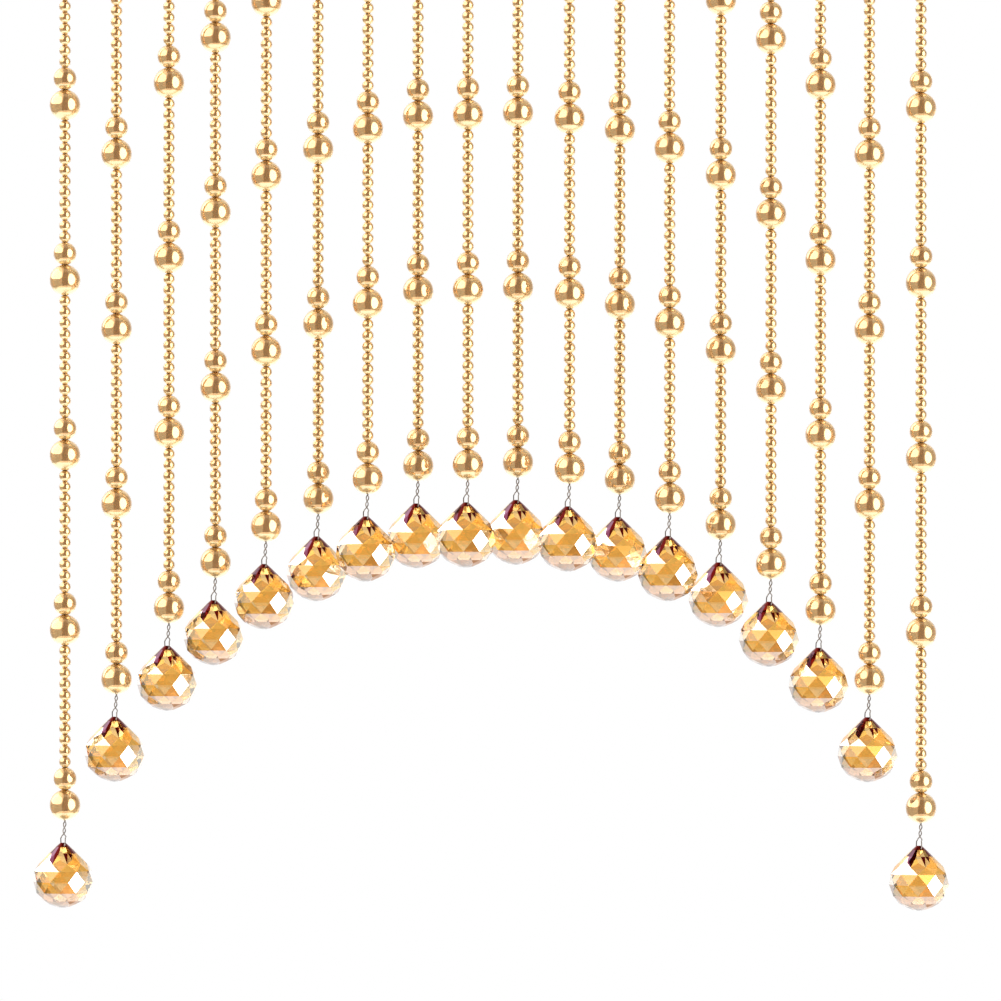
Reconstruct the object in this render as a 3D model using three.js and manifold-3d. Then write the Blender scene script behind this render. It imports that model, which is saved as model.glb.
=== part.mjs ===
// Bead curtain with an arched hem: eighteen strings of champagne glass beads, each ending in a
// faceted amber glass ball on a twisted wire, sewn into a narrow folded tape along the top.
// Millimetres, +Z up, seen from -Y. The origin is the middle of the tape's top edge.

import * as THREE from 'three';
import { mergeVertices } from 'three/addons/utils/BufferGeometryUtils.js';
import { ConvexGeometry } from 'three/addons/geometries/ConvexGeometry.js';
import Module from 'manifold-3d';

// Heading: a woven tape folded lengthways, with the knots of the strings between its layers
const headingWidth = 468;
const headingHeight = 20;
const tapeThickness = 1.2;
const foldGap = 1.6;
const foldRounding = 0.8;

// Knots, threads and wire
const knotDepth = 14;
const knotRadius = 0.5;
const threadRadius = 0.35;
const twistRadius = 0.6;
const loopWire = 0.6;
const loopHeight = 6.4;
const loopLegWidth = 1.14;
const loopTurn = THREE.MathUtils.degToRad(15);

// Beads, by the length that each takes up on the string
const small = { diameter: 6.0, length: 5.55, endDiameter: 2.8 };
const medium = { diameter: 11.6, length: 11.05, endDiameter: 4.4 };
const large = { diameter: 15.5, length: 15.4, endDiameter: 4.4 };
const smallPerRun = 11;
const boreRadius = 0.95;
const pairSides = 6;
const pairSteps = 3;
const smallSides = 3;
const smallSteps = 2;

// Crystal ball, measured from the centre of its round part
const crystalDrop = 36.3;
const crystalShift = -1.0;
const crystalSides = 10;
const crystalTurn = THREE.MathUtils.degToRad(12);
const crystalHoleHeight = 16;
const crystalRings = [
  { height: 17.5, radius: 1.25, corners: crystalSides / 2, turn: 0 },
  { height: 7.25, radius: 11.8, corners: crystalSides, turn: 0 },
  { height: 0, radius: 15.05, corners: crystalSides, turn: 0.5 },
  { height: -7.5, radius: 13.35, corners: crystalSides, turn: 0 },
  { height: -13.0, radius: 7.5, corners: crystalSides / 2, turn: 0.5 },
  { height: -15.0, radius: 0, corners: 1, turn: 0 },
];

// Room kept between pieces that touch on the real curtain
const clearance = 0.3;

// Strings from left to right: how far each hangs from the middle, how far the centre of its
// lowest large bead lies below the top edge, and how far its crystal is pushed back (or
// forwards, where negative) by the neighbours that it rests against
const strings = [
  { x: -214.0, drop: 442.5, push: 0 },
  { x: -188.25, drop: 379.5, push: 0 },
  { x: -162.0, drop: 344.0, push: 0 },
  { x: -138.75, drop: 321.25, push: 0 },
  { x: -113.25, drop: 303.25, push: -9 },
  { x: -87.5, drop: 289.5, push: 9 },
  { x: -62.5, drop: 279.5, push: -9 },
  { x: -37.5, drop: 273.0, push: 9 },
  { x: -12.5, drop: 272.5, push: -9 },
  { x: 12.5, drop: 271.25, push: 9 },
  { x: 38.25, drop: 274.5, push: -9 },
  { x: 63.5, drop: 279.75, push: 9 },
  { x: 88.25, drop: 289.25, push: -9 },
  { x: 114.0, drop: 302.5, push: 9 },
  { x: 139.0, drop: 322.0, push: 0 },
  { x: 163.75, drop: 345.0, push: 0 },
  { x: 188.25, drop: 379.75, push: 0 },
  { x: 214.0, drop: 444.0, push: 0 },
];

const tapeCloth = new THREE.MeshStandardMaterial({ color: 0xefe6d2, roughness: 0.85, metalness: 0 });
const beadGlass = new THREE.MeshStandardMaterial({ color: 0xe2bd78, roughness: 0.08, metalness: 0 });
const crystalGlass = new THREE.MeshStandardMaterial({ color: 0xeeb45a, roughness: 0.04, metalness: 0 });
const steelWire = new THREE.MeshStandardMaterial({ color: 0xb9b9bd, roughness: 0.35, metalness: 0.9 });

const wasm = await Module();
wasm.setup();

// A closed mesh as a solid that can be joined or cut
function toSolid(geometry) {
  const bare = geometry.clone();
  bare.deleteAttribute('normal');
  bare.deleteAttribute('uv');
  const merged = mergeVertices(bare);
  const corners = merged.index.array;
  const faces = [];
  for (let i = 0; i < corners.length; i += 3) {
    const [a, b, c] = corners.slice(i, i + 3);
    if (a !== b && b !== c && c !== a) {
      faces.push(a, b, c);
    }
  }
  return new wasm.Manifold(new wasm.Mesh({
    numProp: 3,
    vertProperties: new Float32Array(merged.attributes.position.array),
    triVerts: new Uint32Array(faces),
  }));
}

function toGeometry(solid) {
  const mesh = solid.getMesh();
  const geometry = new THREE.BufferGeometry();
  geometry.setAttribute('position', new THREE.BufferAttribute(mesh.vertProperties, 3));
  geometry.setIndex(new THREE.BufferAttribute(mesh.triVerts, 1));
  return geometry;
}

function joined(geometries) {
  return geometries.map(toSolid).reduce((whole, piece) => whole.add(piece));
}

// The outline of a bead from its lower flat end to its upper one, in two or three steps that
// lie round an ellipse and reach its full width. A three-sided bead is as wide as a round one.
function beadOutline(bead, base, steps, sides) {
  const endAngle = Math.acos(bead.endDiameter / bead.diameter);
  const widest = steps % 2 === 0 ? 1 : Math.cos(endAngle / steps);
  const corner = sides === smallSides ? Math.cos(Math.PI / 6) : 1;
  const radius = bead.diameter / 2 / widest / corner;
  const points = [];
  for (let step = 0; step <= steps; step += 1) {
    const angle = endAngle * (2 * step / steps - 1);
    const height = bead.length / 2 * (1 + Math.sin(angle) / Math.sin(endAngle));
    points.push(new THREE.Vector2(radius * Math.cos(angle), base + height));
  }
  return points;
}

// Turns an outline about the string, closed on the axis at both ends
function turned(outline, sides) {
  const bottom = new THREE.Vector2(0, outline[0].y);
  const top = new THREE.Vector2(0, outline[outline.length - 1].y);
  const firstCorner = sides === smallSides ? 0 : Math.PI / sides;
  const geometry = new THREE.LatheGeometry([bottom, ...outline, top], sides, firstCorner);
  return geometry.rotateX(Math.PI / 2);
}

// A large bead with the medium one that sits on it
function beadPair(base) {
  const lower = beadOutline(large, base, pairSteps, pairSides);
  const upper = beadOutline(medium, base + large.length, pairSteps, pairSides);
  return turned([...lower, ...upper.slice(1)], pairSides);
}

// A run of small beads, with necks that reach a little way into the beads at its ends
function smallRun(base, count, reachDown, reachUp) {
  const outline = beadOutline(small, base, smallSteps, smallSides);
  for (let bead = 1; bead < count; bead += 1) {
    outline.push(...beadOutline(small, base + bead * small.length, smallSteps, smallSides).slice(1));
  }
  outline[0].y -= reachDown;
  outline[outline.length - 1].y += reachUp;
  return turned(outline, smallSides);
}

// All beads of one string, from its lowest large bead up to the heading, threaded on one bore
function beadColumn(lowestCentre, ceiling) {
  const reach = 0.4;
  const pairLength = large.length + medium.length;
  const pieces = [];
  const bottom = lowestCentre - large.length / 2;
  let base = bottom;
  while (base + pairLength <= ceiling) {
    pieces.push(beadPair(base));
    base += pairLength;
    const room = Math.floor((ceiling - base) / small.length);
    const pairFits = base + smallPerRun * small.length + pairLength <= ceiling;
    const count = pairFits ? smallPerRun : room;
    if (count > 0) {
      pieces.push(smallRun(base, count, reach, pairFits ? reach : 0));
    }
    base += count * small.length;
    if (!pairFits) {
      break;
    }
  }
  const bore = turned([
    new THREE.Vector2(boreRadius, bottom - reach),
    new THREE.Vector2(boreRadius, base + reach),
  ], smallSides);
  return toGeometry(joined(pieces).subtract(toSolid(bore)));
}

// The cone of the crystal's tip is this wide, from its axis, at a height above its centre
function tipRadius(height) {
  const [tip, shoulder] = crystalRings;
  const slope = (shoulder.radius - tip.radius) / (tip.height - shoulder.height);
  return tip.radius + (tip.height - height) * slope;
}

// The wire's open end: a triangle whose lower side passes through the crystal's hole
function wireLoop(holeHeight) {
  const halfBase = tipRadius(crystalHoleHeight - loopWire) + clearance + loopWire;
  const bottom = holeHeight - loopWire / 2;
  const outer = new THREE.Shape([
    new THREE.Vector2(-halfBase, bottom),
    new THREE.Vector2(halfBase, bottom),
    new THREE.Vector2(0, bottom + loopHeight),
  ]);
  outer.holes.push(new THREE.Path([
    new THREE.Vector2(-halfBase + loopLegWidth, bottom + loopWire),
    new THREE.Vector2(0, bottom + loopHeight - loopLegWidth),
    new THREE.Vector2(halfBase - loopLegWidth, bottom + loopWire),
  ]));
  const frame = new THREE.ExtrudeGeometry(outer, { depth: loopWire, bevelEnabled: false });
  frame.translate(0, 0, -loopWire / 2);
  const standing = new THREE.Matrix4().makeBasis(
    new THREE.Vector3(0, 1, 0),
    new THREE.Vector3(0, 0, 1),
    new THREE.Vector3(1, 0, 0),
  );
  return frame.applyMatrix4(standing).rotateZ(loopTurn).translate(crystalShift, 0, 0);
}

// Knot, thread, twist and loop of one string, from its knot in the heading down to its crystal.
// The twist below the beads leans over by the crystal's shift.
function stringLine(lowestCentre) {
  const beadBottom = lowestCentre - large.length / 2;
  const holeHeight = lowestCentre - crystalDrop + crystalHoleHeight;
  const twistEnd = holeHeight + loopHeight - 2 * loopWire;
  const threaded = turned([
    new THREE.Vector2(twistRadius, twistEnd),
    new THREE.Vector2(twistRadius, beadBottom - twistRadius - clearance),
    new THREE.Vector2(threadRadius, beadBottom - clearance),
    new THREE.Vector2(threadRadius, -knotRadius),
    new THREE.Vector2(knotRadius, 0),
    new THREE.Vector2(threadRadius, knotRadius),
  ], smallSides);
  const corners = threaded.attributes.position;
  for (let corner = 0; corner < corners.count; corner += 1) {
    if (corners.getZ(corner) < holeHeight + loopHeight) {
      corners.setX(corner, corners.getX(corner) + crystalShift);
    }
  }
  return toGeometry(joined([threaded, wireLoop(holeHeight)]));
}

// The faceted ball with its pointed top and the hole through that point
function crystalBall() {
  const corners = [];
  for (const ring of crystalRings) {
    for (let corner = 0; corner < ring.corners; corner += 1) {
      const step = 2 * Math.PI / ring.corners;
      const angle = crystalTurn + corner * step + ring.turn * 2 * Math.PI / crystalSides;
      corners.push(new THREE.Vector3(
        ring.radius * Math.cos(angle),
        ring.radius * Math.sin(angle),
        ring.height,
      ));
    }
  }
  const ball = toSolid(new ConvexGeometry(corners));
  const holeWidth = loopWire + 2 * clearance;
  const hole = new THREE.BoxGeometry(holeWidth, large.diameter, holeWidth);
  hole.rotateZ(loopTurn).translate(0, 0, crystalHoleHeight);
  return toGeometry(ball.subtract(toSolid(hole)));
}

// Folded tape: its section is an inverted U, with a softly rounded fold along the top
function headingTape() {
  const outside = foldGap / 2 + tapeThickness;
  const inside = foldGap / 2;
  const section = new THREE.Shape([
    new THREE.Vector2(-outside, -headingHeight),
    new THREE.Vector2(-inside, -headingHeight),
    new THREE.Vector2(-inside, -tapeThickness),
    new THREE.Vector2(inside, -tapeThickness),
    new THREE.Vector2(inside, -headingHeight),
    new THREE.Vector2(outside, -headingHeight),
    new THREE.Vector2(outside, -foldRounding),
    new THREE.Vector2(outside - foldRounding, 0),
    new THREE.Vector2(-outside + foldRounding, 0),
    new THREE.Vector2(-outside, -foldRounding),
  ]);
  const tape = new THREE.ExtrudeGeometry(section, { depth: headingWidth, bevelEnabled: false });
  tape.translate(0, 0, -headingWidth / 2);
  return tape.applyMatrix4(new THREE.Matrix4().makeBasis(
    new THREE.Vector3(0, 1, 0),
    new THREE.Vector3(0, 0, 1),
    new THREE.Vector3(1, 0, 0),
  ));
}

function addMesh(parent, name, geometry, material) {
  const mesh = new THREE.Mesh(geometry, material);
  mesh.name = name;
  parent.add(mesh);
  return mesh;
}

const group = new THREE.Group();
addMesh(group, 'heading', headingTape(), tapeCloth);

const ball = crystalBall();
strings.forEach(({ x, drop, push }, index) => {
  const number = String(index + 1).padStart(2, '0');
  const lowestCentre = knotDepth - drop;
  const ceiling = knotDepth - headingHeight - 2 * clearance;
  const crystalCentre = lowestCentre - crystalDrop;

  const string = new THREE.Group();
  string.position.set(x, 0, -knotDepth);
  string.rotation.x = Math.asin(push / -crystalCentre);
  group.add(string);

  addMesh(string, `line_${number}`, stringLine(lowestCentre), steelWire);
  addMesh(string, `beads_${number}`, beadColumn(lowestCentre, ceiling), beadGlass);
  const crystal = addMesh(string, `crystal_${number}`, ball, crystalGlass);
  crystal.position.set(crystalShift, 0, crystalCentre);
});

export default group;
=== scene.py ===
import math

import bmesh
import bpy
from mathutils import Matrix, Vector


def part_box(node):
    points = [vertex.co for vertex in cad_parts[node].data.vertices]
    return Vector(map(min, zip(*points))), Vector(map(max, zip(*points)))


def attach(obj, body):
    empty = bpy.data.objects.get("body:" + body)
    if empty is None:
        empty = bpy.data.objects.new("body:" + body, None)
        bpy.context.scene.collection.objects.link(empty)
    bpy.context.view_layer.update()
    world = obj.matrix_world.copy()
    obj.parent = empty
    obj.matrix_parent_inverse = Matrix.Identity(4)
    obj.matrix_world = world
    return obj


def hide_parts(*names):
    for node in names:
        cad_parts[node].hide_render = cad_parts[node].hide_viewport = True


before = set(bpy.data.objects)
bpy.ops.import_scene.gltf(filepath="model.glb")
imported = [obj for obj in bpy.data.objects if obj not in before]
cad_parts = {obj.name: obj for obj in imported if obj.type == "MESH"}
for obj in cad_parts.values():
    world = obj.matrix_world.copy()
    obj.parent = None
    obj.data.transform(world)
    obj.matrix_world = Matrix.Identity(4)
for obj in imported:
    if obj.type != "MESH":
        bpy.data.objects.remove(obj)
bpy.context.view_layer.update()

# Heading tape. A narrow woven cotton tape, folded lengthways over the knots of the strings.
# It isn't in the photograph, which cuts the curtain off below it, so its finish is plain.
mm = 0.001
tape_length = 468 * mm
tape_height = 20 * mm
tape_thickness = 1.2 * mm
fold_radius = 1.4 * mm
tape_thread = 0.9 * mm
tape_columns = 234
fold_steps = 12
long_wave = {"depth": 0.10 * mm, "reach": 31 * mm, "start": 1.1}
short_wave = {"depth": 0.06 * mm, "reach": 9 * mm, "start": 0.0}
edge_wave = {"depth": 0.12 * mm, "reach": 23 * mm, "start": 0.0}


class Recipe:
    """A node tree that is being written out, one node at a time."""

    def __init__(self, tree):
        self.tree = tree

    def node(self, kind, settings=(), inputs=(), output=0):
        made = self.tree.nodes.new(kind)
        for name, value in dict(settings).items():
            setattr(made, name, value)
        for key, value in dict(inputs).items():
            if isinstance(value, Term):
                self.tree.links.new(value.socket, made.inputs[key])
            elif isinstance(value, list):
                for term in value:
                    self.tree.links.new(term.socket, made.inputs[key])
            else:
                made.inputs[key].default_value = value
        return Term(self, made.outputs[output]) if made.outputs else None

    def mix(self, factor, first, second):
        return self.node(
            "ShaderNodeMix", {"data_type": "RGBA"}, {0: factor, 6: first, 7: second}, 2
        )

    def ramp(self, value, low, high):
        return self.node(
            "ShaderNodeMapRange",
            {"interpolation_type": "SMOOTHSTEP"},
            {"Value": value, "From Min": low, "From Max": high},
        )

    def vector(self, **parts):
        return self.node("ShaderNodeCombineXYZ", {}, parts)

    def part(self, vector, axis):
        return self.node("ShaderNodeSeparateXYZ", {}, {0: vector}, axis)

    def attribute(self, name, output="Fac"):
        return self.node("ShaderNodeAttribute", {"attribute_name": name}, output=output)

    def finish(self, inputs):
        return self.node("ShaderNodeBsdfPrincipled", {}, inputs)

    def coat(self, surface):
        self.node("ShaderNodeOutputMaterial", {}, {"Surface": surface})


class Term:
    """A socket that arithmetic can be written with."""

    def __init__(self, recipe, socket):
        self.recipe = recipe
        self.socket = socket

    def math(self, operation, first, second=0.0):
        return self.recipe.node("ShaderNodeMath", {"operation": operation}, {0: first, 1: second})

    def __add__(self, other):
        return self.math("ADD", self, other)

    def __radd__(self, other):
        return self.math("ADD", other, self)

    def __sub__(self, other):
        return self.math("SUBTRACT", self, other)

    def __rsub__(self, other):
        return self.math("SUBTRACT", other, self)

    def __mul__(self, other):
        return self.math("MULTIPLY", self, other)

    def __rmul__(self, other):
        return self.math("MULTIPLY", other, self)

    def __truediv__(self, other):
        return self.math("DIVIDE", self, other)

    def __rtruediv__(self, other):
        return self.math("DIVIDE", other, self)

    def __abs__(self):
        return self.math("ABSOLUTE", self)

    def sine(self):
        return self.math("SINE", self)

    def floor(self):
        return self.math("FLOOR", self)

    def least(self, other):
        return self.math("MINIMUM", self, other)


def new_material(name):
    made = bpy.data.materials.new(name)
    made.use_nodes = True
    made.node_tree.nodes.clear()
    return made, Recipe(made.node_tree)


def new_object(name, data):
    made = bpy.data.objects.new(name, data)
    bpy.context.collection.objects.link(made)
    return made


def tape_cloth():
    cloth, recipe = new_material("champagne tape cloth")
    place = recipe.node("ShaderNodeUVMap", {"uv_map": "cut"})
    along = recipe.part(place, "X")
    across = recipe.part(place, "Y")
    thread = 2 * math.pi / tape_thread
    weave = (along * thread).sine() * (across * thread).sine() * 0.5 + 0.5
    rib = (across * (thread * 2)).sine() * 0.5 + 0.5
    relief = recipe.node("ShaderNodeBump", {}, {
        "Strength": 0.6,
        "Distance": 0.12 * mm,
        "Height": weave + rib * 0.5,
    })
    recipe.coat(recipe.finish({
        "Base Color": recipe.mix(weave, (0.50, 0.42, 0.31, 1), (0.60, 0.52, 0.40, 1)),
        "Roughness": 0.85,
        "Sheen Weight": 0.2,
        "Normal": relief,
    }))
    return cloth


def tape_section():
    """The section of the folded tape, from open edge to open edge, and the reach along it."""
    wall = tape_height - tape_thickness / 2 - fold_radius
    around = []
    for step in range(fold_steps):
        around.append((-fold_radius, -tape_height + wall * step / fold_steps))
    for step in range(fold_steps + 1):
        angle = math.pi * (1 - step / fold_steps)
        rise = fold_radius * math.sin(angle)
        around.append((fold_radius * math.cos(angle), -tape_height + wall + rise))
    for step in range(1, fold_steps + 1):
        around.append((fold_radius, -tape_height + wall * (1 - step / fold_steps)))
    reach = [0.0]
    for before, after in zip(around, around[1:]):
        reach.append(reach[-1] + math.dist(before, after))
    return around, reach


def wave(x, depth, reach, start):
    return depth * math.sin(x / reach + start)


def folded_tape():
    around, reach = tape_section()
    tape = bmesh.new()
    cut = tape.loops.layers.uv.new("cut")
    rows = []
    for column in range(tape_columns + 1):
        x = tape_length * (column / tape_columns - 0.5)
        waver = wave(x, **long_wave) + wave(x, **short_wave)
        droop = wave(x, **edge_wave)
        row = []
        for depth, height in around:
            loose = -height / tape_height
            side = 1 if depth > 0 else -1
            place = (x, depth + side * waver * loose, height + droop * loose * loose)
            row.append(tape.verts.new(place))
        rows.append(row)
    for column in range(tape_columns):
        for step in range(len(around) - 1):
            corners = [(column, step), (column, step + 1), (column + 1, step + 1), (column + 1, step)]
            face = tape.faces.new([rows[c][s] for c, s in corners])
            face.smooth = True
            for loop, (c, s) in zip(face.loops, corners):
                loop[cut].uv = (tape_length * c / tape_columns, reach[s])
    mesh = bpy.data.meshes.new("heading_tape")
    tape.to_mesh(mesh)
    tape.free()
    mesh.materials.append(tape_cloth())
    piece = new_object("heading_tape", mesh)
    thick = piece.modifiers.new("thickness", "SOLIDIFY")
    thick.thickness = tape_thickness
    thick.offset = 0
    thick.use_even_offset = True
    return piece, reach[-1]


heading, tape_width = folded_tape()
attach(heading, "root")
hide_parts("heading")


# Stitching. Two rows of lockstitch in a paler cotton hold the two layers of the tape together,
# one below the fold and one above the open edge. They show on the front and on the back.
stitch_pitch = 3.0 * mm
stitch_length = 2.3 * mm
stitch_radius = 0.22 * mm
stitch_slant = math.radians(4)
stitch_margin = 3 * mm
stitch_standing = 0.3
stitch_seed = 11
stitch_count = int((tape_length - 2 * stitch_margin) / stitch_pitch) + 1
stitch_start = -(stitch_count - 1) * stitch_pitch / 2
stitch_depth = fold_radius + tape_thickness / 2 + stitch_radius * stitch_standing
stitch_heights = {"upper": -3.5 * mm, "lower": -17 * mm}
tape_sides = {"front": -1, "back": 1}


def new_tree(name, inputs):
    """A geometry tree with these named inputs, as a recipe and the inputs to write it with."""
    tree = bpy.data.node_groups.new(name, "GeometryNodeTree")
    tree.interface.new_socket("Geometry", in_out="OUTPUT", socket_type="NodeSocketGeometry")
    for label, kind in inputs.items():
        tree.interface.new_socket(label, in_out="INPUT", socket_type=f"NodeSocket{kind}")
    recipe = Recipe(tree)
    given = recipe.node("NodeGroupInput").socket.node
    wanted = {socket.name: Term(recipe, socket) for socket in given.outputs if socket.name}
    return recipe, wanted


def made_by(tree, name, sizes):
    """A piece made by a tree: the modifier gets its sizes, runs once and is left out of the result."""
    maker = new_object(name, bpy.data.meshes.new(name))
    modifier = maker.modifiers.new(tree.name, "NODES")
    modifier.node_group = tree
    for item in tree.interface.items_tree:
        if item.in_out == "INPUT" and item.name in sizes:
            modifier[item.identifier] = sizes[item.name]
    maker.update_tag()
    ready = bpy.context.evaluated_depsgraph_get()
    mesh = bpy.data.meshes.new_from_object(
        maker.evaluated_get(ready), preserve_all_data_layers=True, depsgraph=ready
    )
    bpy.data.objects.remove(maker)
    return new_object(name, mesh)


def stitching_tree():
    recipe, wanted = new_tree("stitching", {
        "Count": "Int",
        "Pitch": "Float",
        "Length": "Float",
        "Radius": "Float",
        "Start": "Vector",
        "Wander": "Float",
        "Seed": "Int",
        "Cotton": "Material",
    })
    row = recipe.node("GeometryNodeMeshLine", {"mode": "OFFSET"}, {
        "Count": wanted["Count"],
        "Start Location": wanted["Start"],
        "Offset": recipe.vector(X=wanted["Pitch"]),
    })
    stitch = recipe.node("GeometryNodeMeshUVSphere", {}, {
        "Segments": 6,
        "Rings": 5,
        "Radius": wanted["Radius"],
    })
    stitch = recipe.node("GeometryNodeTransform", {}, {
        "Geometry": stitch,
        "Scale": recipe.vector(X=wanted["Length"] / (wanted["Radius"] * 2), Y=1.0, Z=1.0),
    })
    slant = recipe.node("FunctionNodeRandomValue", {"data_type": "FLOAT_VECTOR"}, {
        0: recipe.vector(Y=0 - wanted["Wander"]),
        1: recipe.vector(Y=wanted["Wander"]),
        "Seed": wanted["Seed"],
    })
    stitches = recipe.node("GeometryNodeInstanceOnPoints", {}, {
        "Points": row,
        "Instance": stitch,
        "Rotation": slant,
    })
    stitches = recipe.node("GeometryNodeRealizeInstances", {}, {"Geometry": stitches})
    stitches = recipe.node("GeometryNodeSetShadeSmooth", {}, {"Geometry": stitches})
    stitches = recipe.node("GeometryNodeSetMaterial", {}, {
        "Geometry": stitches,
        "Material": wanted["Cotton"],
    })
    recipe.node("NodeGroupOutput", {}, {"Geometry": stitches})
    return recipe.tree


def sewing_cotton():
    cotton, recipe = new_material("sewing cotton")
    recipe.coat(recipe.finish({"Base Color": (0.66, 0.59, 0.48, 1), "Roughness": 0.7}))
    return cotton


stitching = stitching_tree()
cotton = sewing_cotton()
for side_name, side in tape_sides.items():
    for height_name, height in stitch_heights.items():
        row = made_by(stitching, f"stitches_{side_name}_{height_name}", {
            "Count": stitch_count,
            "Pitch": stitch_pitch,
            "Length": stitch_length,
            "Radius": stitch_radius,
            "Start": (stitch_start, side * stitch_depth, height),
            "Wander": stitch_slant,
            "Seed": stitch_seed,
            "Cotton": cotton,
        })
        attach(row, "root")


# Wires. Each string is a steel wire, knotted in the heading, threaded through its beads, doubled
# and twisted by hand, and looped through the hole of its crystal ball. It hangs straight from its
# knot, and the middle strings lean forwards and back by turns, so that their balls clear each other.
string_count = 18
knot_radius = 0.5 * mm
coil_radius = 0.25 * mm
coil_rise = 0.05 * mm
coil_step = 0.8
coil_points = 16
coil_middle = 6.0
ball_radius = 15 * mm
ball_shift = -1.0 * mm
hole_height = 16 * mm
hole_turn = math.radians(15)
thread_radius = 0.22 * mm
thread_overlap = 0.2 * mm
wire_radius = 0.28 * mm
bead_end = 28.6 * mm
strand_top = bead_end + 0.5 * mm
strand_steps = 22
half_turn = 3.15 * mm
twist_radius = 0.62 * mm
bead_pinch = 0.3 * mm
bead_pinch_length = 1.5 * mm
leg_top = 20.4 * mm
leg_spread = 0.5 * mm
leg_spread_length = 2.2 * mm
loop_reach = 4.0 * mm
# Down a leg of the loop: its place across and its height, in mm, and its share of the reach
leg_points = ((1.16, 0.22, 19.6), (1.18, 0.50, 18.4), (1.19, 0.80, 17.1))
# From the foot of a leg to half way through the hole: the share of the reach and the height in mm
hole_points = ((1.0, 16.3), (0.97, 15.98), (0.8, 16.0), (0.4, 16.0), (0.0, 16.0))


def hanging_string(number):
    """Where a string hangs and how long it is, read from the solids that it replaces."""
    label = f"{number:02d}"
    beads_low, beads_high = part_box(f"beads_{label}")
    ball_low, ball_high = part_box(f"crystal_{label}")
    line_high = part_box(f"line_{label}")[1]
    knot = Vector(((beads_low.x + beads_high.x) / 2, 0, line_high.z - knot_radius))
    fall = Vector((0, (ball_low.y + ball_high.y) / 2, ball_low.z + ball_radius - knot.z))
    lean = math.atan2(fall.y, -fall.z)
    return {
        "label": label,
        "length": fall.length,
        "beads": (beads_high.z - beads_low.z) / math.cos(lean),
        "lean": lean,
        "hang": Matrix.Translation(knot) @ Matrix.Rotation(lean, 4, "X"),
    }


def wire_steel():
    steel, recipe = new_material("wire steel")
    recipe.coat(recipe.finish({
        "Base Color": (0.19, 0.165, 0.15, 1),
        "Metallic": 1.0,
        "Roughness": 0.35,
    }))
    return steel


def strand_course(side):
    """One strand of the twist, in heights above the ball's centre, down to half way through."""
    course = []
    for step in range(strand_steps + 1):
        height = strand_top - (strand_top - leg_top) * step / strand_steps
        angle = math.pi / 2 - math.pi * (height - leg_top) / half_turn
        near_leg = max(0.0, 1 - (height - leg_top) / leg_spread_length)
        near_bead = max(0.0, 1 - (strand_top - height) / bead_pinch_length)
        radius = twist_radius + leg_spread * near_leg - bead_pinch * near_bead
        centre = ball_shift * (bead_end - height) / (bead_end - hole_height)
        course.append((
            centre + side * radius * math.sin(angle),
            -side * radius * math.cos(angle),
            height,
        ))
    for across, share, height in leg_points:
        course.append((ball_shift + side * across * mm, -side * share * loop_reach, height * mm))
    along = Vector((math.sin(hole_turn), -math.cos(hole_turn), 0))
    for share, height in hole_points:
        place = along * side * share * loop_reach
        course.append((ball_shift + place.x, place.y, height * mm))
    return course


def coiled_knot():
    coil = []
    for step in range(coil_points):
        turn = step * coil_step
        rise = (turn - coil_middle) * coil_rise
        coil.append((coil_radius * math.cos(turn), coil_radius * math.sin(turn), rise))
    return coil


def bent_wire(name, courses, radii, hang, material):
    wire = bpy.data.curves.new(name, "CURVE")
    wire.dimensions = "3D"
    wire.bevel_depth = 1.0
    wire.bevel_resolution = 2
    wire.use_fill_caps = True
    for course, radius in zip(courses, radii):
        spline = wire.splines.new("POLY")
        spline.points.add(len(course) - 1)
        for point, place in zip(spline.points, course):
            point.co = (*place, 1)
            point.radius = radius
    shape = new_object(name, wire)
    ready = bpy.context.evaluated_depsgraph_get()
    mesh = bpy.data.meshes.new_from_object(shape.evaluated_get(ready))
    bpy.data.objects.remove(shape)
    mesh.transform(hang)
    mesh.materials.clear()
    mesh.materials.append(material)
    for face in mesh.polygons:
        face.use_smooth = True
    return new_object(name, mesh)


steel = wire_steel()
strings = [hanging_string(number) for number in range(1, string_count + 1)]
for string in strings:
    drop = -string["length"]
    strands = []
    for side in (1, -1):
        strands.append([(x, y, drop + height) for x, y, height in strand_course(side)])
    thread = [(0, 0, 0), (0, 0, drop + bead_end + thread_overlap)]
    line = bent_wire(
        f"wire_{string['label']}",
        [coiled_knot(), thread, *strands],
        [thread_radius, thread_radius, wire_radius, wire_radius],
        string["hang"],
        steel,
    )
    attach(line, "root")
    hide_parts(f"line_{string['label']}")


# Beads. Champagne glass with a gold lustre, in three sizes of round bead. Each is turned about
# the line, with flat ends where it meets its neighbours and a bore that shows through the glass
# as a dark band. Its foot is painted paler, with a softer lustre: a painted reflection of the
# bright floor below.
small_size = {"diameter": 6.0 * mm, "length": 5.55 * mm, "end": 2.28 * mm, "bore": 1.2 * mm}
medium_size = {"diameter": 11.6 * mm, "length": 11.05 * mm, "end": 3.52 * mm, "bore": 1.8 * mm}
large_size = {"diameter": 15.5 * mm, "length": 15.4 * mm, "end": 2.8 * mm, "bore": 2.0 * mm}
# A bead's faces that lie lower than this share of its length below its middle are painted pale: a
# painted reflection of the bright floor beneath.
painted_underlight_share = 0.28
clear_share = 0.42
painted_underlight_clear_share = 0.06


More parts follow.
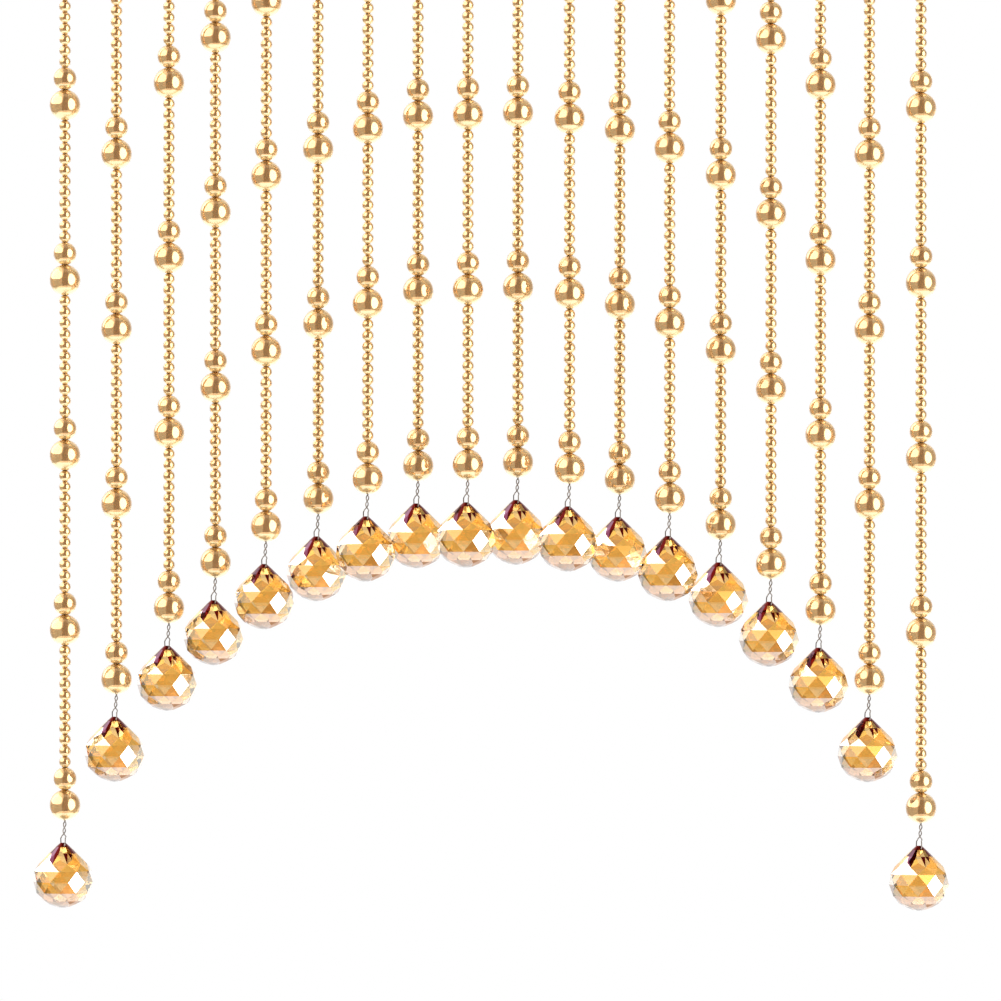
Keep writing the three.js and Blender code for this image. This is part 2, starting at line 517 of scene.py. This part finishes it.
def bead_glass():
    glass, recipe = new_material("champagne bead glass")
    shade = recipe.attribute("shade")
    bore = recipe.attribute("bore")
    foot = recipe.attribute("foot")
    tint = recipe.mix(shade, (0.66, 0.35, 0.085, 1), (0.72, 0.40, 0.11, 1))
    # On the foot, the paler base colour, the lower metal and the rougher finish are painted light: a
    # painted reflection of the bright floor below.
    lustre_and_painted_light = recipe.finish({
        "Base Color": recipe.mix(foot, tint, (0.72, 0.56, 0.28, 1)),
        "Metallic": 1 - foot * 0.35,
        "Roughness": foot * 0.3 + 0.03,
        "Coat Weight": 1.0,
        "Coat Roughness": 0.02,
        "Coat IOR": 2.0,
    })
    see_through = recipe.finish({
        "Base Color": (0.92, 0.72, 0.37, 1),
        "Roughness": 0.18,
        "IOR": 1.5,
        "Transmission Weight": 1.0,
    })
    drilled = recipe.finish({"Base Color": (0.34, 0.14, 0.03, 1), "Roughness": 0.6})
    wall = recipe.node("ShaderNodeMixShader", {}, {
        0: clear_share - foot * (clear_share - painted_underlight_clear_share),
        1: lustre_and_painted_light,
        2: see_through,
    })
    recipe.coat(recipe.node("ShaderNodeMixShader", {}, {0: bore, 1: wall, 2: drilled}))
    return glass


def bead_outline(diameter, length, end, bore, rings):
    """Half the section of a bead, as radii and heights, up its outside and down its bore."""
    end_angle = math.acos(end / diameter)
    outline = []
    for ring in range(rings + 1):
        angle = end_angle * (2 * ring / rings - 1)
        rise = math.sin(angle) / math.sin(end_angle)
        outline.append((diameter / 2 * math.cos(angle), rise * length / 2))
    return outline + [(bore / 2, length / 2), (bore / 2, -length / 2)]


def turned_bead(name, size, rings, sides):
    outline = bead_outline(rings=rings, **size)
    flat_ends = (0, rings + 1)
    bead = bmesh.new()
    turns = []
    for side in range(sides):
        angle = 2 * math.pi * side / sides
        turns.append([
            bead.verts.new((reach * math.cos(angle), reach * math.sin(angle), height))
            for reach, height in outline
        ])
    for side in range(sides):
        here, there = turns[side - 1], turns[side]
        for corner in range(len(outline)):
            face = bead.faces.new((here[corner - 1], there[corner - 1], there[corner], here[corner]))
            face.smooth = corner not in flat_ends
    bmesh.ops.recalc_face_normals(bead, faces=bead.faces)
    mesh = bpy.data.meshes.new(name)
    bead.to_mesh(mesh)
    bead.free()
    inside = [math.hypot(*face.center.xy) < size["bore"] / 2 for face in mesh.polygons]
    # The foot faces get the attribute that paints the pale reflection of the floor below.
    painted_underlit = [face.center.z < -painted_underlight_share * size["length"] for face in mesh.polygons]
    for attribute, shares in (("bore", inside), ("foot", painted_underlit)):
        stored = mesh.attributes.new(attribute, "FLOAT", "FACE")
        stored.data.foreach_set("value", [float(share) for share in shares])
    return new_object(name, mesh)


small_bead = turned_bead("small bead", small_size, rings=6, sides=9)
medium_bead = turned_bead("medium bead", medium_size, rings=14, sides=28)
large_bead = turned_bead("large bead", large_size, rings=16, sides=32)


# Stringing. From the bottom up each line carries a large bead, a medium one and a run of
# eleven small ones, over and over, and what is left below the heading is filled with small ones.
# No bead sits quite straight, and no two have quite the same tint.
small_run = 11
bead_tilt = math.radians(1.2)
seed_step = 10
lowest_bead_height = 36.3 * mm
pair_length = large_size["length"] + medium_size["length"]
period_length = pair_length + small_run * small_size["length"]


def stringing_tree():
    recipe, wanted = new_tree("stringing", {
        "Pairs": "Int",
        "Small beads": "Int",
        "Run": "Int",
        "Lowest end": "Float",
        "Small length": "Float",
        "Medium length": "Float",
        "Large length": "Float",
        "Tilt": "Float",
        "Seed": "Int",
        "Small bead": "Object",
        "Medium bead": "Object",
        "Large bead": "Object",
        "Lean": "Vector",
        "Knot": "Vector",
        "Glass": "Material",
    })
    tilt = wanted["Tilt"]
    large_length = wanted["Large length"]
    medium_length = wanted["Medium length"]
    pair = large_length + medium_length
    period = pair + wanted["Run"] * wanted["Small length"]

    def threaded(places, shape, seed):
        spin = recipe.node("FunctionNodeRandomValue", {"data_type": "FLOAT_VECTOR"}, {
            0: recipe.vector(X=0 - tilt, Y=0 - tilt),
            1: recipe.vector(X=tilt, Y=tilt, Z=2 * math.pi),
            "Seed": wanted["Seed"] + seed,
        })
        beads = recipe.node("GeometryNodeInstanceOnPoints", {}, {
            "Points": places,
            "Instance": recipe.node("GeometryNodeObjectInfo", {}, {"Object": shape}, "Geometry"),
            "Rotation": spin,
        })
        shade = recipe.node(
            "FunctionNodeRandomValue", {"data_type": "FLOAT"}, {"Seed": wanted["Seed"] + (seed + 1)}, 1
        )
        return recipe.node(
            "GeometryNodeStoreNamedAttribute",
            {"data_type": "FLOAT", "domain": "INSTANCE"},
            {"Geometry": beads, "Name": "shade", "Value": shade},
        )

    def one_of_each_pair(centre):
        return recipe.node("GeometryNodeMeshLine", {"mode": "OFFSET"}, {
            "Count": wanted["Pairs"],
            "Start Location": recipe.vector(Z=wanted["Lowest end"] + centre),
            "Offset": recipe.vector(Z=period),
        })

    index = recipe.node("GeometryNodeInputIndex")
    run = ((index + 0.5) / wanted["Run"]).floor().least(wanted["Pairs"] - 1)
    above = index - run * wanted["Run"] + 0.5
    height = wanted["Lowest end"] + run * period + pair + above * wanted["Small length"]
    row = recipe.node("GeometryNodeMeshLine", {"mode": "OFFSET"}, {"Count": wanted["Small beads"]})
    row = recipe.node("GeometryNodeSetPosition", {}, {
        "Geometry": row,
        "Position": recipe.vector(Z=height),
    })
    beads = recipe.node("GeometryNodeJoinGeometry", {}, {"Geometry": [
        threaded(one_of_each_pair(large_length * 0.5), wanted["Large bead"], 0),
        threaded(one_of_each_pair(large_length + medium_length * 0.5), wanted["Medium bead"], 2),
        threaded(row, wanted["Small bead"], 4),
    ]})
    hung = recipe.node("GeometryNodeTransform", {}, {
        "Geometry": beads,
        "Translation": wanted["Knot"],
        "Rotation": wanted["Lean"],
    })
    whole = recipe.node("GeometryNodeRealizeInstances", {}, {"Geometry": hung})
    whole = recipe.node("GeometryNodeSetMaterial", {}, {
        "Geometry": whole,
        "Material": wanted["Glass"],
    })
    recipe.node("NodeGroupOutput", {}, {"Geometry": whole})
    return recipe.tree


champagne = bead_glass()
stringing = stringing_tree()
for string in strings:
    pairs = int((string["beads"] - pair_length) / period_length) + 1
    smalls = round((string["beads"] - pairs * pair_length) / small_size["length"])
    column = made_by(stringing, f"bead_column_{string['label']}", {
        "Pairs": pairs,
        "Small beads": smalls,
        "Run": small_run,
        "Lowest end": -string["length"] + lowest_bead_height - large_size["length"] / 2,
        "Small length": small_size["length"],
        "Medium length": medium_size["length"],
        "Large length": large_size["length"],
        "Tilt": bead_tilt,
        "Seed": int(string["label"]) * seed_step,
        "Small bead": small_bead,
        "Medium bead": medium_bead,
        "Large bead": large_bead,
        "Lean": (string["lean"], 0, 0),
        "Knot": string["hang"].translation,
        "Glass": champagne,
    })
    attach(column, "root")
    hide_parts(f"beads_{string['label']}")
for shape in (small_bead, medium_bead, large_bead):
    bpy.data.objects.remove(shape)


# Crystal balls. Amber lead glass, cut with rows of flat facets and polished: a cone with its tip and
# slits painted dark red, kites and triangles about the waist, a sharp girdle and a cap below it
# painted pale. Each facet has its own colour over the amber lustre, and the colours repeat on the
# back: they paint the inner reflections, highlights and shade that the facets show.
hole_radius = 0.45 * mm
hole_length = 12 * mm
hole_sides = 10
flat_angle = math.radians(0.4)
# Degrees from straight ahead to the front facet of the cut, and from one facet to the next
front_cut = 13
cut_step = 36
# Rings of corners, each by its height above the ball's middle and its radius, in mm
tip = (17.5, 1.3)
collar = (15.4, 3.7)
cone = (12.2, 7.05)
crest = (9.2, 9.75)
shoulder = (7.0, 12.15)
kite_side = (3.4, 14.55)
waist = (-2.0, 14.95)
girdle = (-7.5, 13.45)
notch_top = (-10.1, 11.3)
notch_foot = (-11.5, 9.85)
foot_rings = ((-13.2, 7.0), (-14.6, 3.4), (-15.0, 1.2))
notch_half_turn = 0.11
# A facet is see-through where its own share here and how far it is turned away, from 0 to 1,
# add up to more than these
clear_from = 1.0
clear_to = 1.3
never_clear = 0.0
clear_at_rim = 0.7
always_clear = 1.3


def lustre_and_painted_light(red, green, blue, metal=0.4, gloss=0.0, clears=never_clear):
    return {"tint": (red, green, blue, 1), "metal": metal, "gloss": gloss, "clears": clears}


# These facet colours are partly the amber lustre of the glass and partly painted light: wine, plum and
# mauve are painted inner reflections, white, cream and peach are painted highlights, blush and rose
# paint the pale light refracted through the lower half, and copper and slate paint dark reflections.
wine = lustre_and_painted_light(0.10, 0.002, 0.001, metal=1.0)
plum = lustre_and_painted_light(0.07, 0.012, 0.03, metal=1.0)
mauve = lustre_and_painted_light(0.12, 0.05, 0.08, metal=1.0)
honey = lustre_and_painted_light(0.95, 0.64, 0.28, metal=0.8)
gold = lustre_and_painted_light(1.0, 0.48, 0.08)
amber = lustre_and_painted_light(1.0, 0.59, 0.125)
apricot = lustre_and_painted_light(1.0, 0.66, 0.28)
ochre = lustre_and_painted_light(0.50, 0.25, 0.06, clears=clear_at_rim)
deep = lustre_and_painted_light(0.95, 0.49, 0.08, clears=clear_at_rim)
burnt = lustre_and_painted_light(0.62, 0.24, 0.03, clears=clear_at_rim)
copper = lustre_and_painted_light(0.22, 0.10, 0.04, metal=1.0)
peach = lustre_and_painted_light(1.0, 0.79, 0.62, metal=0.3, gloss=0.4)
cream = lustre_and_painted_light(0.99, 0.94, 0.86, gloss=1.0)
white = lustre_and_painted_light(0.99, 0.97, 0.94, gloss=1.0)
clear = lustre_and_painted_light(0.99, 0.97, 0.95, gloss=1.0, clears=always_clear)
blush = lustre_and_painted_light(0.52, 0.39, 0.35, gloss=0.3)
rose = lustre_and_painted_light(0.35, 0.26, 0.25, gloss=0.3)
slate = lustre_and_painted_light(0.24, 0.19, 0.19, gloss=0.2)
# Rows from the tip down, each by the height in mm above which the middles of its facets lie. Rows
# of ten go round half of the ball in steps of 18 degrees, and rows of five in steps of 36.
tip_foot = 15.5
collar_foot = 12.5
rib_foot = 8.6
kite_foot = 5.2
collar_row = [honey, plum, mauve, wine, honey, honey, amber, wine, wine, amber]
slit_row = [amber, honey, mauve, wine, honey, wine, wine, gold, amber, amber]
rib_row = [honey, honey, cream, plum, amber, honey, honey, gold, gold, amber]
kite_row = [gold, white, ochre, gold, apricot]
# Below the kites a row also says whether it lies in line with them, as 1, or half a step round, as 0
rows_below = [
    (3.0, 0, [cream, peach, amber, amber, peach]),
    (0.7, 0, [clear, ochre, deep, peach, cream]),
    (-2.0, 1, [cream, peach, deep, cream, cream]),
    (-4.7, 1, [rose, amber, apricot, cream, cream]),
    (-7.0, 0, [cream, deep, burnt, cream, peach]),
    (-9.1, 0, [rose, blush, blush, peach, peach]),
    (-10.5, 1, [blush, blush, peach, blush, peach]),
    (-12.0, 0, [blush, blush, rose, copper, copper]),
    (-13.4, 1, [rose, slate, rose, copper, copper]),
    (-15.1, 0, [rose, slate, rose, copper, copper]),
]
# A slit or a notch faces within this share of a step of 18 degrees of its place
slit_aim = 0.1
notch_aim = 0.12
notch_foot_height = -11.4
notch_top_height = -10.6


# Picks each facet's colour, with its painted reflections, highlights and shade, by which way the facet
# faces and how high it lies.
def facet_lustre_and_painted_light(facing, height):
    azimuth = math.degrees(math.atan2(facing.x, -facing.y))
    turns = (azimuth - front_cut) / (cut_step / 2)
    nearest = round(turns)
    off = abs(turns - nearest)
    place = (nearest + 5) % 10
    if height > tip_foot:
        return wine
    if height > collar_foot:
        return collar_row[place]
    if height > rib_foot and off < slit_aim:
        return slit_row[place]
    if height > rib_foot:
        return rib_row[(math.ceil(turns) + 5) % 10]
    if height > kite_foot:
        return kite_row[place // 2]
    if notch_foot_height < height < notch_top_height and off < notch_aim and place % 2:
        return slate
    for lowest, in_line, lustres_and_painted_lights in rows_below:
        if height > lowest:
            return lustres_and_painted_lights[(place - 1 + in_line) // 2 % 5]
    return blush


def cut_block():
    """The ball before it is drilled: the hull of the rings of corners, with its flat facets whole."""
    twenty = [0.25 + 0.5 * corner for corner in range(20)]
    level = [float(corner) for corner in range(10)]
    between = [0.5 + corner for corner in range(10)]
    notched = [corner + side for corner in level for side in (-notch_half_turn, notch_half_turn)]
    rings = [(tip, twenty), (collar, twenty), (cone, twenty), (crest, between), (shoulder, level)]
    rings += [(kite_side, between), (waist, level), (girdle, between)]
    rings += [(notch_top, level), (notch_foot, notched)]
    rings += zip(foot_rings, (between, level, between))
    ball = bmesh.new()
    for (height, radius), corners in rings:
        for corner in corners:
            azimuth = math.radians(front_cut + corner * cut_step)
            ball.verts.new((
                radius * mm * math.sin(azimuth),
                -radius * mm * math.cos(azimuth),
                height * mm,
            ))
    bmesh.ops.convex_hull(ball, input=ball.verts)
    bmesh.ops.dissolve_limit(ball, angle_limit=flat_angle, verts=ball.verts, edges=ball.edges)
    bmesh.ops.recalc_face_normals(ball, faces=ball.faces)
    mesh = bpy.data.meshes.new("cut_ball")
    ball.to_mesh(mesh)
    ball.free()
    return new_object("cut_ball", mesh)


def drill_bit():
    across = Matrix.Rotation(hole_turn, 4, "Z") @ Matrix.Rotation(math.radians(90), 4, "X")
    bit = bmesh.new()
    bmesh.ops.create_cone(
        bit, cap_ends=True, segments=hole_sides, radius1=hole_radius, radius2=hole_radius,
        depth=hole_length, matrix=Matrix.Translation((0, 0, hole_height)) @ across,
    )
    mesh = bpy.data.meshes.new("hole")
    bit.to_mesh(mesh)
    bit.free()
    return new_object("hole", mesh)


def cut_ball():
    bit = drill_bit()
    block = cut_block()
    drilling = block.modifiers.new("drilling", "BOOLEAN")
    drilling.operation = "DIFFERENCE"
    drilling.solver = "EXACT"
    drilling.object = bit
    ready = bpy.context.evaluated_depsgraph_get()
    drilled = bpy.data.meshes.new_from_object(block.evaluated_get(ready))
    bpy.data.objects.remove(bit)
    bpy.data.objects.remove(block)
    # Each facet gets its colour, painted light included, as attributes.
    lustres_and_painted_lights = [facet_lustre_and_painted_light(face.normal, face.center.z / mm) for face in drilled.polygons]
    tints = drilled.attributes.new("tint", "FLOAT_COLOR", "FACE")
    for value, fired_and_painted_light in zip(tints.data, lustres_and_painted_lights):
        value.color = fired_and_painted_light["tint"]
    for name in ("metal", "gloss", "clears"):
        shares = drilled.attributes.new(name, "FLOAT", "FACE")
        for share, fired_and_painted_light in zip(shares.data, lustres_and_painted_lights):
            share.value = fired_and_painted_light[name]
    return drilled


def crystal_glass():
    glass, recipe = new_material("amber crystal")
    # The facets show the colours painted on them, painted reflections, highlights and shade included.
    fired_and_painted_light = recipe.finish({
        "Base Color": recipe.attribute("tint", "Color"),
        "Metallic": recipe.attribute("metal"),
        "Roughness": 0.0,
        "IOR": 1.6,
        "Transmission Weight": 1.0,
        "Coat Weight": recipe.attribute("gloss"),
        "Coat Roughness": 0.0,
        "Coat IOR": 2.0,
    })
    see_through = recipe.finish({
        "Base Color": (0.97, 0.92, 0.86, 1),
        "Roughness": 0.0,
        "IOR": 1.6,
        "Transmission Weight": 1.0,
    })
    rim = recipe.node("ShaderNodeLayerWeight", {}, {"Blend": 0.5}, "Facing")
    recipe.coat(recipe.node("ShaderNodeMixShader", {}, {
        0: recipe.ramp(rim + recipe.attribute("clears"), clear_from, clear_to),
        1: fired_and_painted_light,
        2: see_through,
    }))
    return glass


crystal_material = crystal_glass()
ball_mesh = cut_ball()
for string in strings:
    mesh = ball_mesh.copy()
    mesh.transform(string["hang"] @ Matrix.Translation((ball_shift, 0, -string["length"])))
    mesh.materials.clear()
    mesh.materials.append(crystal_material)
    crystal = new_object(f"cut_ball_{string['label']}", mesh)
    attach(crystal, "root")
    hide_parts(f"crystal_{string['label']}")


# Studio. A white surround behind the curtain and a pale floor below it. The glass mirrors a
# tall lamp box on the right, a wide one high on the left, and the dark room by the camera.
back_wall = (1.25, 1.25, 1.25, 1)
side_walls = (0.62, 0.58, 0.52, 1)
dark_room = (0.58, 0.53, 0.46, 1)
ceiling = (0.9, 0.87, 0.8, 1)
lit_floor = (2.0, 1.97, 1.9, 1)
# Where one colour of the surround gives way to the next, in degrees
back_to_sides = (26, 62)
sides_to_room = (140, 158)
walls_to_ceiling = (55, 70)
walls_to_floor = (-41, -45)
# Patches of light, by the turn from behind the curtain, the height and the half sizes, in degrees,
# with their colours and their soft edge
left_glow = {"turn": -95, "height": 42, "half_width": 70, "half_height": 36}
left_box = {"turn": -101, "height": 32, "half_width": 54, "half_height": 26}
floor_glow = {"turn": 0, "height": -45, "half_width": 60, "half_height": 22}
right_box = {"turn": 124, "height": 4, "half_width": 29, "half_height": 38, "square": False}
glow_light = (1.9, 1.85, 1.7, 1)
left_light = (4.0, 3.95, 3.85, 1)
right_light = (5.5, 5.5, 5.5, 1)
soft_edge = (0.75, 1.25)

world = bpy.data.worlds.new("studio")
bpy.context.scene.world = world
world.use_nodes = True
world.node_tree.nodes.clear()
recipe = Recipe(world.node_tree)
direction = recipe.node("ShaderNodeTexCoord", output="Generated")
direction_x = recipe.part(direction, "X")
direction_y = recipe.part(direction, "Y")
direction_z = recipe.part(direction, "Z")
azimuth = direction_x.math("ARCTAN2", direction_x, direction_y) * (180 / math.pi)
elevation = direction_z.math("ARCSINE", direction_z) * (180 / math.pi)


def patch(turn, height, half_width, half_height, square=True):
    """1 inside a patch of the surround, 0 outside."""
    across = (azimuth - turn) / half_width
    above = (elevation - height) / half_height
    across = across * across
    above = above * above
    if square:
        across = across * across
        above = above * above
    return 1 - recipe.ramp(across + above, *soft_edge)


room = recipe.mix(recipe.ramp(abs(azimuth), *back_to_sides), back_wall, side_walls)
room = recipe.mix(recipe.ramp(abs(azimuth), *sides_to_room), room, dark_room)
room = recipe.mix(recipe.ramp(elevation, *walls_to_ceiling), room, ceiling)
room = recipe.mix(patch(**left_glow), room, glow_light)
room = recipe.mix(recipe.ramp(elevation, *walls_to_floor), room, lit_floor)
room = recipe.mix(patch(**floor_glow), room, lit_floor)
room = recipe.mix(patch(**left_box), room, left_light)
lit = recipe.mix(patch(**right_box), room, right_light)
seen = recipe.node("ShaderNodeLightPath", output="Is Camera Ray")
shown = recipe.mix(seen, lit, (1, 1, 1, 1))
sky = recipe.node("ShaderNodeBackground", {}, {"Color": shown})
recipe.node("ShaderNodeOutputWorld", {}, {"Surface": sky})


# Floor. A pale painted board, well below the frame, that lights the glass from beneath.
# It belongs to the studio, not to the curtain, so it is staged.
floor_half = 600 * mm
floor_height = -2200 * mm
floor_corners = ((-1, -1), (1, -1), (1, 1), (-1, 1))


def floor_paint():
    paint, recipe = new_material("pale floor")
    recipe.coat(recipe.finish({"Base Color": (0.85, 0.85, 0.84, 1), "Roughness": 0.8}))
    return paint


floor_mesh = bpy.data.meshes.new("floor")
floor_mesh.from_pydata(
    [(x * floor_half, y * floor_half, floor_height) for x, y in floor_corners],
    [], [(0, 1, 2, 3)],
)
floor_mesh.materials.append(floor_paint())
floor = new_object("floor", floor_mesh)


# Camera. It looks straight at the frame of the photograph, which lies in the curtain's own
# plane, through a long lens from far off.
frame_side = 500.5 * mm
frame_centre = Vector((3.75 * mm, 0, -290.25 * mm))
camera_data = bpy.data.cameras.new("camera")
camera_data.sensor_width = 36
camera_data.lens = 300
camera = new_object("camera", camera_data)
distance = frame_side * camera_data.lens / camera_data.sensor_width
camera.location = frame_centre - Vector((0, distance, 0))
camera.rotation_euler = (math.radians(90), 0, 0)
bpy.context.scene.camera = camera
bpy.context.scene.view_settings.view_transform = "Standard"
